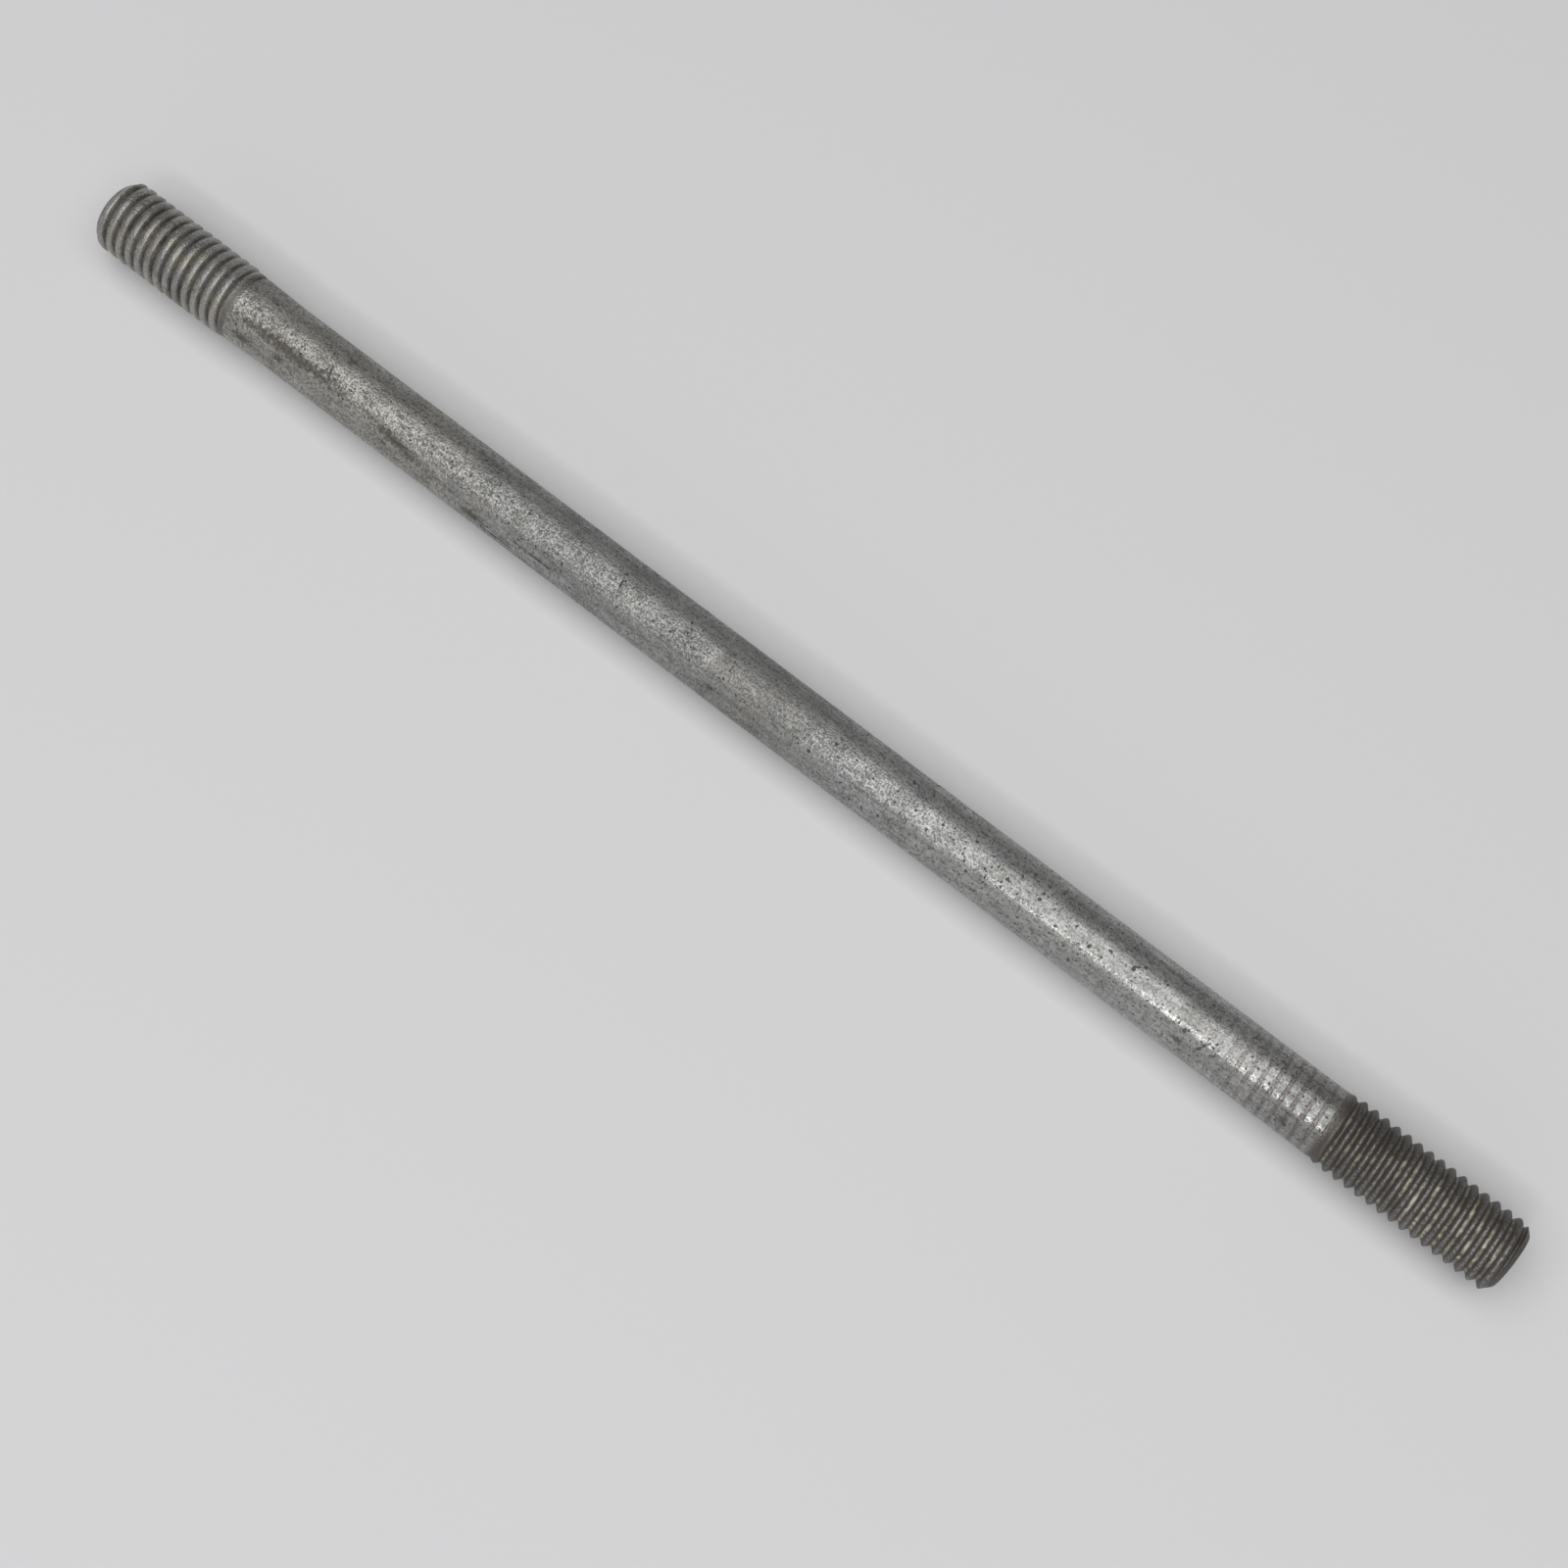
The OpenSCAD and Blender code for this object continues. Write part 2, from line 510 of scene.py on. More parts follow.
class OBJECT_OT_add_threaded_rod(Operator):
    """Model the rod as one piece of steel, with a thread on each end"""

    bl_idname = "object.add_threaded_rod"
    bl_label = "Add Threaded Rod"
    bl_options = {"REGISTER", "UNDO"}

    def execute(self, context):
        rod = context.scene.rod_settings
        worn = model_threaded_end("worn_end", rod, rod.worn, rod.shank.swell_diameter)
        coarse = model_threaded_end("coarse_end", rod, rod.coarse, rod.shank.diameter)
        place_end(worn, -1)
        place_end(coarse, 1)
        piece = join_pieces("threaded_rod", [model_shank(rod), worn, coarse])
        for thread_end in thread_ends(rod):
            bridge_at(piece, thread_end)
        edit(piece, select="SELECT")
        bpy.ops.mesh.normals_make_consistent(inside=False)
        leave_edit()
        wear_surface(piece, rod)
        make_active(piece)
        bpy.ops.object.shade_smooth_by_angle(angle=SMOOTH_ANGLE)
        piece.data.materials.append(weathered_steel(rod))
        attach(piece, "root")
        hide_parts("rod")
        return {"FINISHED"}


# ---------------------------------------------------------------------------
# Shader nodes
# ---------------------------------------------------------------------------

def feed(socket, value):
    """Links an output to a socket, or writes a constant into it."""
    if isinstance(value, bpy.types.NodeSocket):
        socket.id_data.links.new(value, socket)
    else:
        socket.default_value = value


def opaque(colour):
    """A colour with the alpha that a colour socket takes."""
    return (*colour, 1)


def calculate(tree, operation, first, second=0.0, third=0.0):
    """One step of arithmetic."""
    node = tree.nodes.new("ShaderNodeMath")
    node.operation = operation
    for socket, value in zip(node.inputs, (first, second, third)):
        feed(socket, value)
    return node.outputs["Value"]


def combine(tree, operation, *values):
    """The product, the sum or the highest of any number of values."""
    return reduce(lambda first, second: calculate(tree, operation, first, second), values)


def calculate_vector(tree, operation, first, second=(0, 0, 0), output="Vector"):
    """One step of arithmetic on vectors."""
    node = tree.nodes.new("ShaderNodeVectorMath")
    node.operation = operation
    feed(node.inputs[0], first)
    feed(node.inputs[1], second)
    return node.outputs[output]


def scale_colour(tree, colour, factor):
    """A colour made darker or lighter by a factor."""
    node = tree.nodes.new("ShaderNodeVectorMath")
    node.operation = "SCALE"
    feed(node.inputs[0], colour)
    feed(node.inputs["Scale"], factor)
    return node.outputs["Vector"]


def grade(tree, value, span, onto=(0.0, 1.0)):
    """Maps a value smoothly from a span onto another one, and holds it at both ends."""
    node = tree.nodes.new("ShaderNodeMapRange")
    node.interpolation_type = "SMOOTHSTEP"
    for socket, number in zip(node.inputs, (value, *span, *onto)):
        feed(socket, number)
    return node.outputs["Result"]


def blend(tree, share, low, high):
    """A value between low and high."""
    node = tree.nodes.new("ShaderNodeMix")
    feed(node.inputs["Factor"], share)
    feed(node.inputs["A"], low)
    feed(node.inputs["B"], high)
    return node.outputs["Result"]


def blend_colour(tree, share, low, high):
    """A colour between low and high."""
    node = tree.nodes.new("ShaderNodeMixRGB")
    for socket, value in zip(node.inputs, (share, low, high)):
        feed(socket, value)
    return node.outputs["Color"]


def noise(tree, place, scale, detail, roughness=0.5):
    """Cloudy values from 0 to 1. Its scale says how many clouds go to a unit of place."""
    node = tree.nodes.new("ShaderNodeTexNoise")
    feed(node.inputs["Vector"], place)
    feed(node.inputs["Scale"], scale)
    feed(node.inputs["Detail"], detail)
    feed(node.inputs["Roughness"], roughness)
    return node.outputs["Fac"]


def new_group(name, inputs, outputs):
    """A node group with the named sockets, given as {name: kind of socket}. Returns its
    tree, its inputs and its outputs."""
    tree = bpy.data.node_groups.new(name, "ShaderNodeTree")
    for direction, sockets in (("INPUT", inputs), ("OUTPUT", outputs)):
        for socket_name, kind in sockets.items():
            tree.interface.new_socket(
                name=socket_name, in_out=direction, socket_type="NodeSocket" + kind)
    entry = tree.nodes.new("NodeGroupInput")
    result = tree.nodes.new("NodeGroupOutput")
    return tree, entry.outputs, result.inputs


def use_group(tree, group, **values):
    """Adds a group to a tree with its inputs fed, and returns its outputs."""
    node = tree.nodes.new("ShaderNodeGroup")
    node.node_tree = group
    node.label = group.name
    for name, value in values.items():
        feed(node.inputs[name], value)
    return node.outputs


# ---------------------------------------------------------------------------
# Effects on the steel, all measured in millimetres
# ---------------------------------------------------------------------------

def rod_place_group(rod):
    """Where a point lies on the rod: Place from the middle of the axis, Along it, Around
    it in degrees from +Y over the top, its Radius, and Skin, the surface unrolled flat."""
    tree, _, result = new_group("rod place", {}, {
        "Place": "Vector", "Along": "Float", "Around": "Float", "Radius": "Float",
        "Skin": "Vector"})
    source = tree.nodes.new("ShaderNodeTexCoord")
    centred = calculate_vector(tree, "SUBTRACT", source.outputs["Object"], (0, 0, AXIS_HEIGHT))
    place = calculate_vector(tree, "MULTIPLY", centred, (1 / MM, 1 / MM, 1 / MM))
    split = tree.nodes.new("ShaderNodeSeparateXYZ")
    feed(split.inputs[0], place)
    angle = calculate(tree, "ARCTAN2", split.outputs["Z"], split.outputs["Y"])
    across = calculate_vector(tree, "MULTIPLY", place, (0, 1, 1))
    skin = tree.nodes.new("ShaderNodeCombineXYZ")
    feed(skin.inputs["X"], split.outputs["X"])
    feed(skin.inputs["Y"], calculate(tree, "MULTIPLY", angle, rod.shank.diameter / 2 / MM))
    feed(result["Place"], place)
    feed(result["Along"], split.outputs["X"])
    feed(result["Around"], calculate(tree, "DEGREES", angle))
    feed(result["Radius"], calculate_vector(tree, "LENGTH", across, output="Value"))
    feed(result["Skin"], skin.outputs["Vector"])
    return tree


def crest_distance_group(rod):
    """Distance along the rod to the nearest crest of a thread, from -0.5 to 0.5 of a
    pitch. Depth is the distance from the end face, and Swing the angle past the start
    of the thread in degrees."""
    tree, entry, result = new_group(
        "crest distance", {"Depth": "Float", "Swing": "Float"}, {"Distance": "Float"})
    advance = calculate(tree, "DIVIDE", entry["Depth"], rod.pitch / MM)
    turned = calculate(tree, "DIVIDE", entry["Swing"], 360)
    phase = calculate(tree, "SUBTRACT", advance, turned)
    feed(result["Distance"], calculate(tree, "WRAP", phase, 0.5, -0.5))
    return tree


# How far the edge of a mark runs in and out, and where it fades from nothing to all of
# it, both as shares of its half size
MARK_RAGS = 0.6
MARK_EDGE = (1.5, 0.3)


def mark_group():
    """One stain or scratch: a ragged ellipse on the unrolled skin, with its Centre, its
    half Size along and across, and the angle at which it slants."""
    tree, entry, result = new_group(
        "mark",
        {"Skin": "Vector", "Centre": "Vector", "Size": "Vector", "Slant": "Vector"},
        {"Mask": "Float"})
    cloudy = noise(tree, entry["Skin"], 2.6, detail=4)
    rags = grade(tree, cloudy, (0.25, 0.75), onto=(-MARK_RAGS, MARK_RAGS))
    ellipse = tree.nodes.new("ShaderNodeMapping")
    ellipse.vector_type = "TEXTURE"
    feed(ellipse.inputs["Vector"], entry["Skin"])
    feed(ellipse.inputs["Location"], entry["Centre"])
    feed(ellipse.inputs["Rotation"], entry["Slant"])
    feed(ellipse.inputs["Scale"], entry["Size"])
    distance = calculate_vector(tree, "LENGTH", ellipse.outputs["Vector"], output="Value")
    feed(result["Mask"], grade(tree, calculate(tree, "ADD", distance, rags), MARK_EDGE))
    return tree


def pit_group():
    """Small ragged pits of many sizes, Spacing apart, of which the given Share is there."""
    tree, entry, result = new_group(
        "pits", {"Place": "Vector", "Spacing": "Float", "Share": "Float"}, {"Mask": "Float"})
    shake = tree.nodes.new("ShaderNodeTexNoise")
    feed(shake.inputs["Vector"], entry["Place"])
    feed(shake.inputs["Scale"], 3.0)
    offset = calculate_vector(tree, "MULTIPLY", shake.outputs["Color"], (0.3, 0.3, 0.3))
    shaken = calculate_vector(tree, "ADD", entry["Place"], offset)
    cells = tree.nodes.new("ShaderNodeTexVoronoi")
    feed(cells.inputs["Vector"], shaken)
    feed(cells.inputs["Scale"], calculate(tree, "DIVIDE", 1.0, entry["Spacing"]))
    chance = tree.nodes.new("ShaderNodeSeparateColor")
    feed(chance.inputs[0], cells.outputs["Color"])
    chosen = calculate(tree, "LESS_THAN", chance.outputs["Red"], entry["Share"])
    size = grade(tree, chance.outputs["Green"], (0.0, 1.0), onto=(0.08, 0.28))
    inside = calculate(tree, "SUBTRACT", size, cells.outputs["Distance"])
    feed(result["Mask"], combine(tree, "MULTIPLY", grade(tree, inside, (0.0, 0.06)), chosen))
    return tree


def grain_group():
    """The orange-peel grain of the skin, as a height from 0 to 1."""
    tree, entry, result = new_group("grain", {"Place": "Vector"}, {"Height": "Float"})
    fine = noise(tree, entry["Place"], 4.6, detail=2, roughness=0.65)
    broad = noise(tree, entry["Place"], 1.8, detail=1)
    feed(result["Height"], blend(tree, 0.15, fine, broad))
    return tree


def streak_group():
    """Fine lines along the rod, as a value from 0 to 1."""
    tree, entry, result = new_group("streaks", {"Place": "Vector"}, {"Value": "Float"})
    drawn = calculate_vector(tree, "MULTIPLY", entry["Place"], (0.08, 1, 1))
    feed(result["Value"], noise(tree, drawn, 2.6, detail=3, roughness=0.6))
    return tree


# Stains on the shank, as (along, around, half length, half width, slant), in millimetres
# and degrees. Along starts at the middle of the rod. Around starts at +Y and goes over
# the top.
STAINS = (
    (-60.6, 120, 7.0, 0.55, 0),
    (-46.5, 132, 4.0, 0.5, 8),
    (-66.0, 151, 1.3, 0.5, 0),
    (-61.5, 141, 0.7, 0.4, 0),
    (-36.0, 160, 1.4, 0.5, 0),
    (-55.0, 67, 0.4, 0.4, 0),
    (-47.7, 148, 0.4, 0.3, 20),
    (-38.8, 57, 0.4, 0.25, 0),
    (49.5, 144, 0.8, 0.3, 10),
    (61.6, 144, 0.6, 0.4, 0),
    (-6.4, 147, 0.5, 0.25, -15),
)
# Scratches and folds in the skin, given in the same way
SCRATCHES = (
    (-55.9, 108, 0.8, 0.12, 70),
    (-33.0, 170, 2.2, 0.12, 0),
    (-30.2, 150, 0.8, 0.1, 0),
    (-27.5, 150, 1.6, 0.12, 2),
    (-19.3, 97, 0.6, 0.1, 80),
    (28.9, 82, 0.25, 0.13, 60),
    (27.9, 101, 0.25, 0.13, 120),
    (42.7, 86, 0.5, 0.1, -35),
    (51.7, 131, 0.9, 0.14, 118),
    (53.1, 129, 0.55, 0.14, -32),
    (55.2, 62, 0.5, 0.14, -60),
    (33.0, 58, 0.6, 0.1, 90),
)


def cover_with_marks(tree, rod, skin, group, marks):
    """A mask over all the marks of a list."""
    cover = 0.0
    for along, around, length, width, slant in marks:
        arc = radians(around) * rod.shank.diameter / 2 / MM
        mark = use_group(
            tree, group, Skin=skin, Centre=(along, arc, 0), Size=(length, width, 1),
            Slant=(0, 0, radians(slant)))
        cover = calculate(tree, "MAXIMUM", cover, mark["Mask"])
    return cover


# ---------------------------------------------------------------------------
# What the finishes of the shank and of both threads share
# ---------------------------------------------------------------------------

# Stretches over which the skin of the shank changes, each from where there is nothing of
# the change to where it is complete, in millimetres from the middle of the rod
DULLED = (-25, -50)
PITTED = (0, 35)
SHINY = (0, 50)
RUBBED_FROM = (-7.8, -7.0)
RUBBED_TO = (8, 1)
# Middle of the stretch that is matt, and the distances from it in the same way
MATT_MIDDLE = -15
MATT = (30, 8)
# How much higher the grain stands in the palest blotches than in the darkest
BLOTCH_RISE = 0.12
# Height of the grain where it is plain and where it is pitted, height of the streaks, and
# depth of what is cut into both
GRAIN_HEIGHT = 0.085 * MM
PITTED_GRAIN_HEIGHT = 0.012 * MM
STREAK_HEIGHT = 0.012 * MM
CUT_DEPTH = 0.06 * MM


def survey_spot(tree, rod):
    """Where a point lies on the rod, where the threads end, and how far the skin has
    changed at the point. Where it is calm, its grain shows less."""
    where = use_group(tree, rod_place_group(rod))
    along = where["Along"]
    worn_end, coarse_end = (end / MM for end in thread_ends(rod))
    half = ROD_LENGTH / 2 / MM
    pitted = grade(tree, along, PITTED)
    rubbed = combine(
        tree, "MULTIPLY", grade(tree, along, RUBBED_FROM), grade(tree, along, RUBBED_TO))
    from_matt = calculate(tree, "ABSOLUTE", calculate(tree, "ADD", along, -MATT_MIDDLE))
    return SimpleNamespace(
        tree=tree, rod=rod, half=half, worn_end=worn_end, coarse_end=coarse_end,
        place=where["Place"], along=along, around=where["Around"], radius=where["Radius"],
        skin=where["Skin"], from_coarse_face=calculate(tree, "SUBTRACT", half, along),
        dulled=grade(tree, along, DULLED), pitted=pitted, shiny=grade(tree, along, SHINY),
        rubbed=rubbed, matt=grade(tree, from_matt, MATT),
        calm=combine(tree, "MAXIMUM", pitted, rubbed))


def add_patterns(spot):
    """The patterns that cover the whole rod."""
    tree, place = spot.tree, spot.place
    spot.grain = use_group(tree, grain_group(), Place=place)["Height"]
    spot.streaks = use_group(tree, streak_group(), Place=place)["Value"]
    spot.blotches = noise(tree, place, 0.35, detail=4, roughness=0.6)
    spot.specks = noise(tree, place, 1.6, detail=3, roughness=0.65)
    spot.tint = noise(tree, place, 0.6, detail=3)
    freckles = noise(tree, place, 3.4, detail=2, roughness=0.65)
    spot.clean = grade(tree, freckles, (0.34, 0.52))
    lowered = calculate(tree, "ADD", spot.grain, -BLOTCH_RISE / 2)
    uneven = calculate(tree, "MULTIPLY_ADD", spot.blotches, BLOTCH_RISE, lowered)
    spot.polish = grade(tree, uneven, (0.41, 0.57))


def thread_rings(spot):
    """Faint marks of the coarse thread on the last of the shank."""
    tree, rod = spot.tree, spot.rod
    # The coarse end was laid down with its own X axis upwards, at 90 degrees around
    swing = calculate(tree, "SUBTRACT", 90 - degrees(rod.coarse.turn), spot.around)
    crest = use_group(
        tree, crest_distance_group(rod), Depth=spot.from_coarse_face, Swing=swing)
    ring = grade(tree, calculate(tree, "ABSOLUTE", crest["Distance"]), (0.26, 0.42))
    near_coarse = grade(tree, spot.along, (spot.coarse_end - 18, spot.coarse_end - 4))
    broken = grade(tree, spot.specks, (0.3, 0.55))
    return combine(tree, "MULTIPLY", ring, near_coarse, broken)


def add_flaws(spot):
    """The pits, stains, scratches and rings of the shank, as masks."""
    tree, place = spot.tree, spot.place
    pit = pit_group()
    big = use_group(
        tree, pit, Place=place, Spacing=0.9, Share=blend(tree, spot.pitted, 0.05, 0.35))
    small = use_group(
        tree, pit, Place=place, Spacing=0.5, Share=blend(tree, spot.pitted, 0.5, 0.9))
    spot.pits = combine(tree, "MAXIMUM", big["Mask"], small["Mask"])
    mark = mark_group()
    spot.stains = cover_with_marks(tree, spot.rod, spot.skin, mark, STAINS)
    spot.scratches = cover_with_marks(tree, spot.rod, spot.skin, mark, SCRATCHES)
    spot.rings = thread_rings(spot)


# --------------------------------------------------------------------------- The finish of the shank and of each thread, with painted shade in the threads, as a colour and a roughness
# The finish of the shank and of each thread, as a colour and a roughness
# ---------------------------------------------------------------------------

def shank_grey(spot):
    """The clean skin of the shank, warmest at the worn end and where it is rubbed."""
    tree, rod = spot.tree, spot.rod
    tinted = grade(tree, spot.tint, (0.35, 0.65), onto=(0.0, 0.45))
    warmth = calculate(tree, "MULTIPLY_ADD", spot.dulled, 0.65, tinted)
    warmth = calculate(tree, "MULTIPLY_ADD", spot.rubbed, 0.28, warmth)
    grey = blend_colour(tree, warmth, opaque(rod.steel), opaque(rod.dull))
    hollow = blend(tree, spot.calm, 0.7, 0.87)
    raised = blend(tree, spot.calm, 1.24, 1.09)
    freckle = blend(tree, spot.matt, 0.55, 0.68)
    to_thread = (spot.coarse_end - 7, spot.coarse_end - 2)
    # Each factor is below 1 where it darkens the skin and above 1 where it brightens it
    shade = combine(
        tree, "MULTIPLY",
        grade(tree, spot.blotches, (0.3, 0.7), onto=(0.88, 1.1)),
        blend(tree, spot.polish, hollow, raised),
        blend(tree, spot.clean, freckle, 1.06),
        grade(tree, spot.specks, (0.3, 0.6), onto=(0.86, 1.09)),
        grade(tree, spot.streaks, (0.36, 0.6), onto=(0.84, 1.08)),
        blend(tree, spot.matt, 1.0, 0.87),
        blend(tree, spot.rubbed, 1.0, 0.93),
        grade(tree, spot.along, to_thread, onto=(1.0, 0.85)),
        blend(tree, spot.shiny, 1.0, 1.06))
    return scale_colour(tree, grey, shade)


def shank_finish(spot):
    """Plated steel, stained, scratched and pitted, with rust in its rings."""
    tree, rod = spot.tree, spot.rod
    dirt = combine(
        tree, "MAXIMUM",
        calculate(tree, "MULTIPLY", spot.stains, 0.75),
        calculate(tree, "MULTIPLY", spot.scratches, 0.85),
        calculate(tree, "MULTIPLY", spot.pits, 0.9))
    rusty = calculate(tree, "MULTIPLY", spot.rings, 0.62)
    colour = blend_colour(tree, dirt, shank_grey(spot), opaque(rod.stain_and_shade))
    colour = blend_colour(tree, rusty, colour, opaque(rod.rust))
    roughest = blend(tree, spot.shiny, 0.24, 0.1)
    smoothest = blend(tree, spot.shiny, -0.08, -0.03)
    rough = combine(
        tree, "ADD",
        blend(tree, spot.dulled, blend(tree, spot.shiny, 0.42, 0.28), 0.4),
        blend(tree, spot.polish, roughest, smoothest),
        calculate(tree, "MULTIPLY", dirt, 0.4),
        calculate(tree, "MULTIPLY", spot.matt, 0.04),
        calculate(tree, "MULTIPLY", spot.rubbed, 0.08))
    return colour, rough


def down_groove(spot, thread, shallow, deep):
    """How far down a thread's groove a point lies: 0 at the shallow share of its depth,
    and 1 at the deep share."""
    crest_radius = thread.crest_diameter / 2 / MM
    depth = thread.depth / MM
    span = (crest_radius - depth * shallow, crest_radius - depth * deep)
    return grade(spot.tree, spot.radius, span)


def worn_finish_and_shade(spot):
    """Polished crests, with old dirt in patches, and dark dirt with painted shade deep in the
    grooves and in the last groove at the shank.
    """
    tree, rod, worn_end = spot.tree, spot.rod, spot.worn_end
    # Darkening down the grooves is painted shade as well as dirt
    groove = down_groove(spot, rod.worn, 0.3, 0.9)
    off_shank = grade(tree, spot.along, (worn_end - 7, worn_end - 3), onto=(1.0, 0.1))
    patches = combine(tree, "MULTIPLY", grade(tree, spot.blotches, (0.5, 0.4)), off_shank)
    grime_and_shade = calculate(
        tree, "MULTIPLY_ADD", groove, 0.42, calculate(tree, "MULTIPLY", patches, 0.4))
    # The last groove at the shank is darkened with painted shade as well as dirt
    last_groove = grade(tree, spot.along, (worn_end - 1.0, worn_end - 0.5), onto=(0.0, 0.75))
    grime_and_shade = combine(tree, "MAXIMUM", grime_and_shade, last_groove, blend(tree, spot.clean, 0.3, 0.0))
    tinted = grade(tree, spot.tint, (0.35, 0.65))
    colour = blend_colour(tree, tinted, opaque(rod.tarnish), opaque(rod.steel))
    colour = blend_colour(tree, grime_and_shade, colour, opaque(rod.stain_and_shade))
    return colour, blend(tree, grime_and_shade, 0.24, 0.55)


def packed_dirt(spot):
    """Pale dirt in the coarse grooves, thickest on top and towards the end face."""
    tree, half = spot.tree, spot.half
    return combine(
        tree, "MULTIPLY",
        down_groove(spot, spot.rod.coarse, 0.6, 0.95),
        grade(tree, spot.from_coarse_face, (0.8, 1.6)),
        grade(tree, spot.specks, (0.37, 0.6), onto=(0.18, 0.9)),
        grade(tree, spot.along, (half - 17, half - 9), onto=(0.5, 1.0)),
        grade(tree, spot.around, (45, 95), onto=(0.35, 1.0)),
        grade(tree, spot.blotches, (0.4, 0.58), onto=(0.25, 1.0)))


def coarse_finish_and_shade(spot):
    """Mid grey crests with painted shade on their +Y side, flanks darkened with painted shade,
    and pale dirt. Gives the mask of that dirt as well.
    """
    tree, rod, half = spot.tree, spot.rod, spot.half
    shade = combine(
        tree, "MULTIPLY",
        blend(tree, spot.polish, 0.6, 1.4),
        blend(tree, spot.clean, 0.6, 1.1),
        grade(tree, spot.along, (half - 20, half - 8), onto=(0.8, 1.12)),
        # Painted shade: darker towards +Y, the side turned away from the lamps
        grade(tree, spot.around, (55, 110), onto=(0.72, 1.02)))
    crest = scale_colour(tree, tuple(rod.dark), shade)
    # Painted shade: the flanks are darkened towards the grooves with the grey-brown
    flank_shade = calculate(tree, "MULTIPLY", down_groove(spot, rod.coarse, 0.08, 0.4), 0.75)
    packed = packed_dirt(spot)
    colour = blend_colour(tree, flank_shade, crest, opaque(rod.stain_and_shade))
    colour = blend_colour(tree, packed, colour, opaque(rod.residue))
    caked = combine(tree, "MULTIPLY", packed, blend(tree, spot.clean, 0.35, 1.0))
    return colour, blend(tree, caked, 0.5, 0.85), caked


def skin_relief(spot):
    """Height of the skin: the grain and the streaks, with the pits, scratches and rings
    cut into them."""
    tree = spot.tree
    grain_height = blend(tree, spot.pitted, GRAIN_HEIGHT, PITTED_GRAIN_HEIGHT)
    height = combine(
        tree, "ADD",
        calculate(tree, "MULTIPLY", spot.grain, grain_height),
        calculate(tree, "MULTIPLY", spot.streaks, STREAK_HEIGHT))
    shallow_pits = calculate(tree, "MULTIPLY", spot.pits, 0.4)
    cuts = combine(tree, "MAXIMUM", shallow_pits, spot.scratches, spot.rings)
    return calculate(tree, "SUBTRACT", height, calculate(tree, "MULTIPLY", cuts, CUT_DEPTH))


def weathered_steel(rod):
    """Dull plated steel: stained and blotchy at the worn end, pitted and brighter towards
    the coarse thread, which is dark with pale dirt in its grooves."""
    material = bpy.data.materials.new("weathered_steel")
    material.use_nodes = True
    tree = material.node_tree
    shader = tree.nodes["Principled BSDF"]
    spot = survey_spot(tree, rod)
    add_patterns(spot)
    add_flaws(spot)
    colour, rough = shank_finish(spot)
    worn_colour, worn_rough = worn_finish_and_shade(spot)
    coarse_colour, coarse_rough, caked = coarse_finish_and_shade(spot)

    # Each thread's finish takes over where the shank ends
    on_worn = grade(tree, spot.along, (spot.worn_end + 0.1, spot.worn_end - 0.3))
    on_coarse = grade(tree, spot.along, (spot.coarse_end, spot.coarse_end + 1.2))
    colour = blend_colour(tree, on_worn, colour, worn_colour)
    colour = blend_colour(tree, on_coarse, colour, coarse_colour)
    rough = blend(tree, on_worn, rough, worn_rough)
    rough = blend(tree, on_coarse, rough, coarse_rough)
    feed(shader.inputs["Base Color"], colour)
    feed(shader.inputs["Roughness"], rough)

    # The raised grain is the barest metal, its hollows less so, and the dirt not at all
    hollow = blend(tree, spot.calm, 0.36, 0.48)
    raised = blend(tree, spot.calm, 0.84, 0.66)
    bare = blend(tree, spot.polish, hollow, raised)
    dirty = combine(tree, "MULTIPLY", caked, on_coarse)
    feed(shader.inputs["Metallic"], blend(tree, dirty, bare, 0.0))

    bump = tree.nodes.new("ShaderNodeBump")
    feed(bump.inputs["Strength"], 1.0)
    feed(bump.inputs["Distance"], 1.0)
    feed(bump.inputs["Height"], skin_relief(spot))
    feed(shader.inputs["Normal"], bump.outputs["Normal"])
    return material


# ---------------------------------------------------------------------------
# The stage
# ---------------------------------------------------------------------------

# Place in metres, turn in degrees and focal length in millimetres
CAMERA_PLACE = (0.05113, -0.07144, 0.27391)
CAMERA_TURN = (16.558, -0.948, 38.20)
CAMERA_LENS = 67.06
# Things nearer to the camera than this are left out
CAMERA_NEAR = 0.01

# The soft lights, as (name, place, size, power in watts, point that it looks at)
SOFTBOXES = (
    ("overhead", (0, -0.22, 0.9), (1.65, 1.28), 11.4, (0, -0.22, 0)),
    ("strip", (0.115, -0.75, 0.9), (0.35, 0.12), 1.2, (0.115, 0, 0)),
    ("side", (0, -1.2, 0.4), (2.4, 0.75), 2.7, (0, 0, 0)),
)
# Grey of the room that lights the rod from all round
ROOM_GREY = (0.13, 0.13, 0.13)

TABLE_SIZE = 3
TABLE_ROUGHNESS = 0.7


def lay_table_top(stage):
    deselect_all()
    bpy.ops.mesh.primitive_plane_add(size=TABLE_SIZE, location=(0, 0, 0))
    floor = name_new("floor")
    material = bpy.data.materials.new("table_top")
    material.use_nodes = True
    shader = material.node_tree.nodes["Principled BSDF"]
    shader.inputs["Base Color"].default_value = opaque(stage.floor)
    shader.inputs["Roughness"].default_value = TABLE_ROUGHNESS
    floor.data.materials.append(material)


def light_room(scene):
    """An even grey from all round."""
    world = bpy.data.worlds.new("studio")
    world.use_nodes = True
    backdrop = world.node_tree.nodes["Background"]
    backdrop.inputs["Color"].default_value = opaque(ROOM_GREY)
    scene.world = world


def add_softbox(name, place, size, power, target):
    """A soft light of a width and a height, turned to look at its target."""
    bpy.ops.object.light_add(type="AREA", location=place)
    lamp = bpy.context.object
    lamp.name = name
    way = Vector(target) - Vector(place)
    lamp.rotation_euler = way.to_track_quat("-Z", "Y").to_euler()
    lamp.data.shape = "RECTANGLE"
    lamp.data.size, lamp.data.size_y = size
    lamp.data.energy = power
    lamp.visible_camera = False


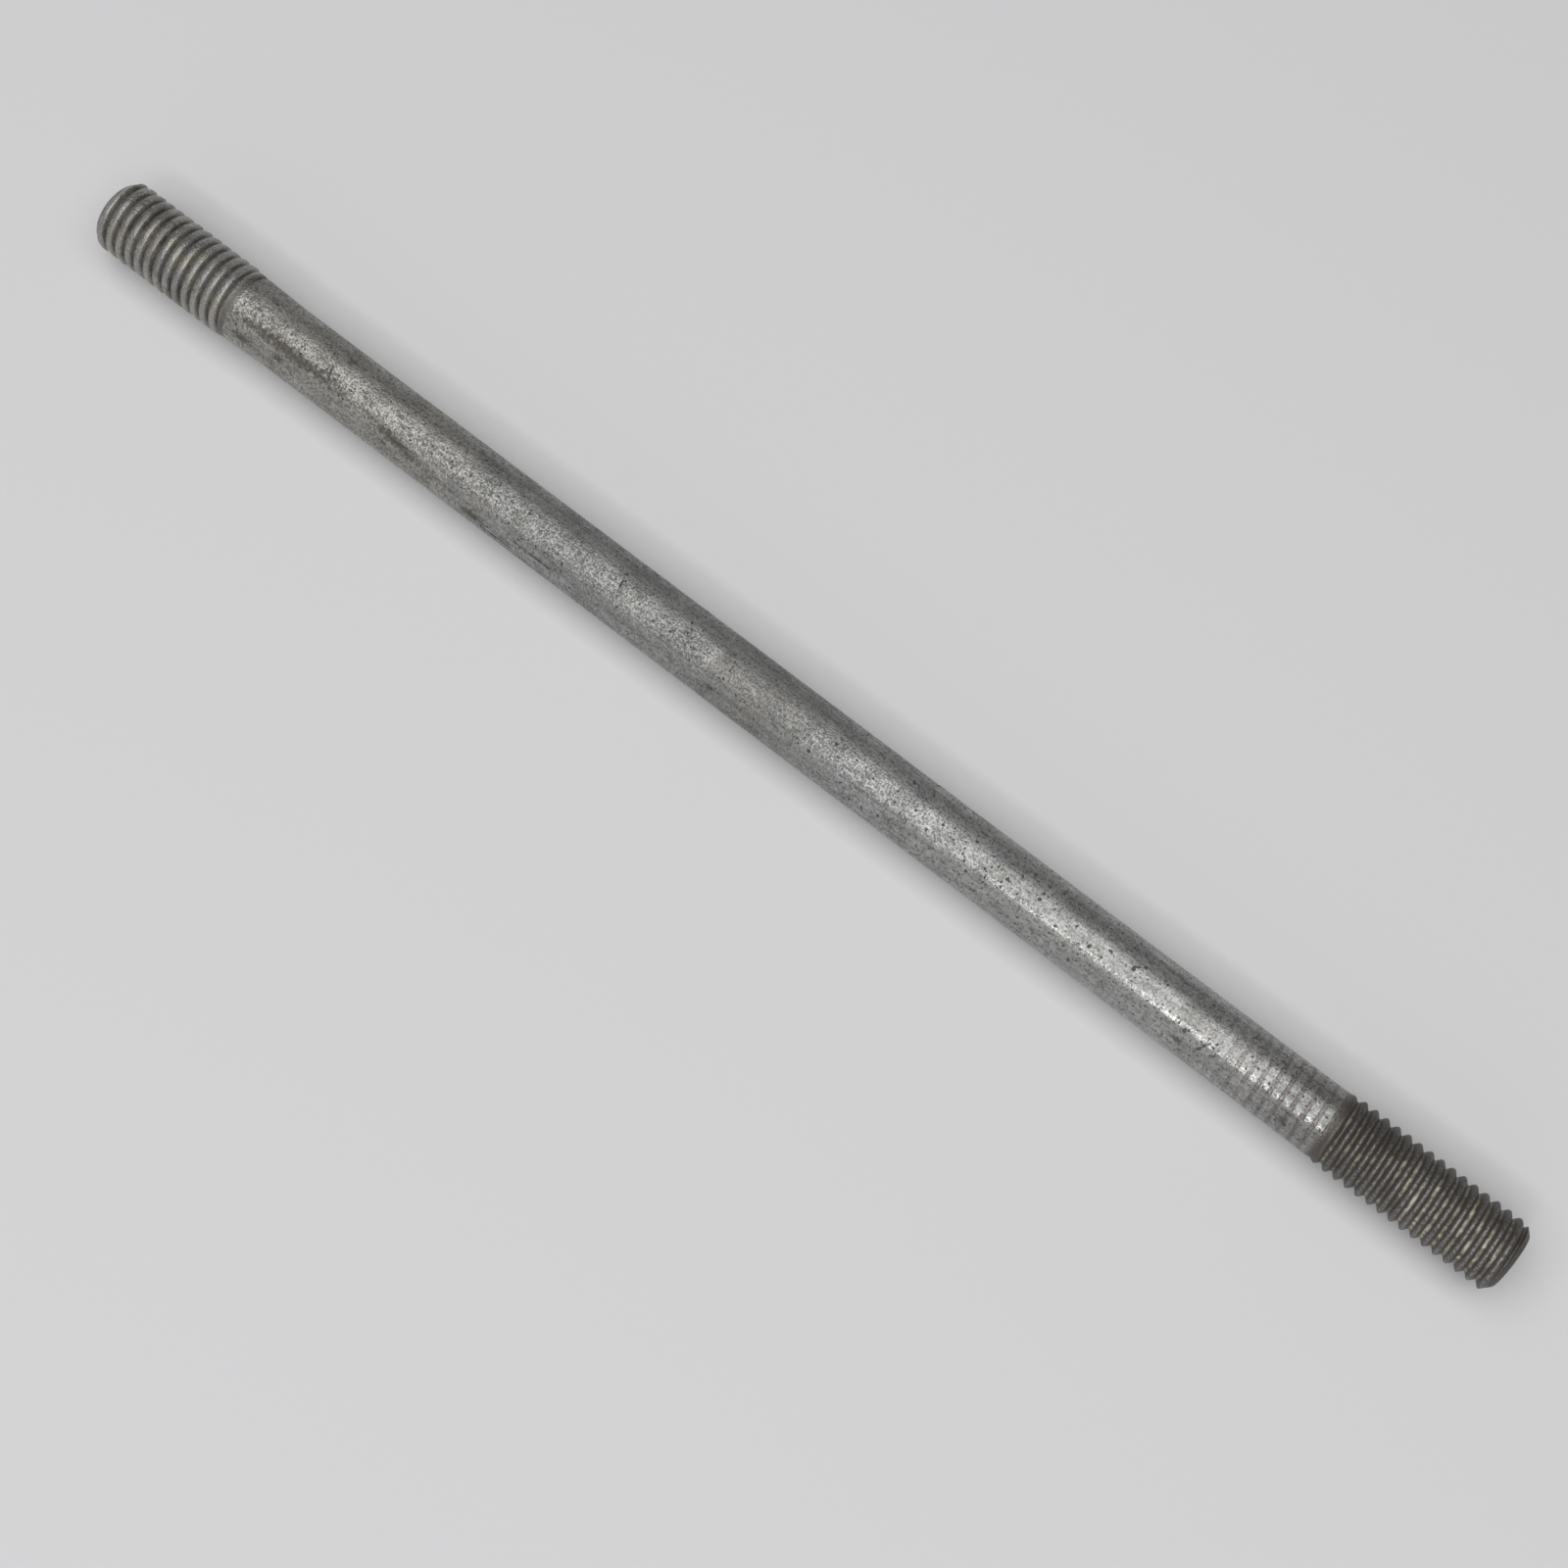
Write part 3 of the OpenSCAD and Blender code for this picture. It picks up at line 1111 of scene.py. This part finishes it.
def add_camera(scene):
    turn = [radians(angle) for angle in CAMERA_TURN]
    bpy.ops.object.camera_add(location=CAMERA_PLACE, rotation=turn)
    camera = bpy.context.object
    camera.name = "camera"
    camera.data.lens = CAMERA_LENS
    camera.data.clip_start = CAMERA_NEAR
    scene.camera = camera


class OBJECT_OT_add_stage(Operator):
    """Set the pale table top, the soft lights and the camera"""

    bl_idname = "object.add_stage"
    bl_label = "Add Stage"
    bl_options = {"REGISTER", "UNDO"}

    def execute(self, context):
        lay_table_top(context.scene.stage_settings)
        light_room(context.scene)
        for softbox in SOFTBOXES:
            add_softbox(*softbox)
        add_camera(context.scene)
        context.scene.view_settings.view_transform = "Standard"
        return {"FINISHED"}


# ---------------------------------------------------------------------------
# Panel, registration and the script itself
# ---------------------------------------------------------------------------

class VIEW3D_PT_threaded_rod(Panel):
    """The sizes and colours of the rod, and its steps"""

    bl_label = "Threaded Rod"
    bl_space_type = "VIEW_3D"
    bl_region_type = "UI"
    bl_category = "Rod"

    def draw(self, context):
        layout = self.layout
        rod = context.scene.rod_settings
        for settings in (rod, rod.shank, rod.worn, rod.coarse, context.scene.stage_settings):
            box = layout.box()
            for name, prop in settings.bl_rna.properties.items():
                if name not in {"rna_type", "name"} and prop.type != "POINTER":
                    box.prop(settings, name)
        layout.operator("object.add_threaded_rod")
        layout.operator("object.add_stage")


CLASSES = (
    ShankSettings,
    WornThreadSettings,
    CoarseThreadSettings,
    RodSettings,
    StageSettings,
    OBJECT_OT_add_threaded_rod,
    OBJECT_OT_add_stage,
    VIEW3D_PT_threaded_rod,
)


def register():
    for cls in CLASSES:
        bpy.utils.register_class(cls)
    bpy.types.Scene.rod_settings = PointerProperty(type=RodSettings)
    bpy.types.Scene.stage_settings = PointerProperty(type=StageSettings)


def unregister():
    del bpy.types.Scene.stage_settings
    del bpy.types.Scene.rod_settings
    for cls in reversed(CLASSES):
        bpy.utils.unregister_class(cls)


def main():
    register()
    bpy.ops.object.add_threaded_rod()
    bpy.ops.object.add_stage()


if __name__ == "__main__":
    main()
